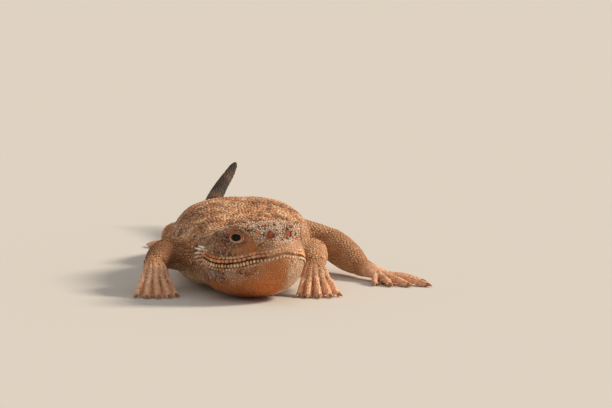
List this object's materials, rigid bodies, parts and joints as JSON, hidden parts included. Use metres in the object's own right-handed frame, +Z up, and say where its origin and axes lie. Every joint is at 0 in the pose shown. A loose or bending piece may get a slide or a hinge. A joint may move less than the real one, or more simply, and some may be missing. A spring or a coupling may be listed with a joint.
{
  "type": "secret toadhead agama",
  "caption": "Life-size still model of a secret toadhead agama lying flat on its belly, head turned to its left, one hind leg forward, tail curving up.",
  "frame": {"origin": "on the floor under the middle of the torso, on the flat of the belly", "axes": "+Z up, the snout towards -Y and the tail towards +Y, the animal's left towards +X"},
  "size_m": [0.0869, 0.2147, 0.0231],
  "materials": {
    "sandy_skin": "matt scaly skin, sandy orange-brown with dark and pale speckles",
    "pale_digits": "matt scaly skin, pale pinkish sand",
    "dark_tail_tip": "matt scaly skin, dark grey-brown",
    "dark_eye": "wet, glossy dark eye"
  },
  "bodies": {
    "root": {"head": "sandy_skin", "neck": "sandy_skin", "torso": "sandy_skin", "tail_base": "sandy_skin", "tail_middle": "sandy_skin", "tail_tip": "dark_tail_tip", "upper_arm_left": "sandy_skin", "upper_arm_right": "sandy_skin", "forearm_left": "sandy_skin", "forearm_right": "sandy_skin", "hand_left": "pale_digits", "hand_right": "pale_digits", "thigh_left": "sandy_skin", "thigh_right": "sandy_skin", "shin_left": "sandy_skin", "shin_right": "sandy_skin", "foot_left": "pale_digits", "foot_right": "pale_digits", "eye_left": "dark_eye", "eye_right": "dark_eye"}
  },
  "joints": []
}
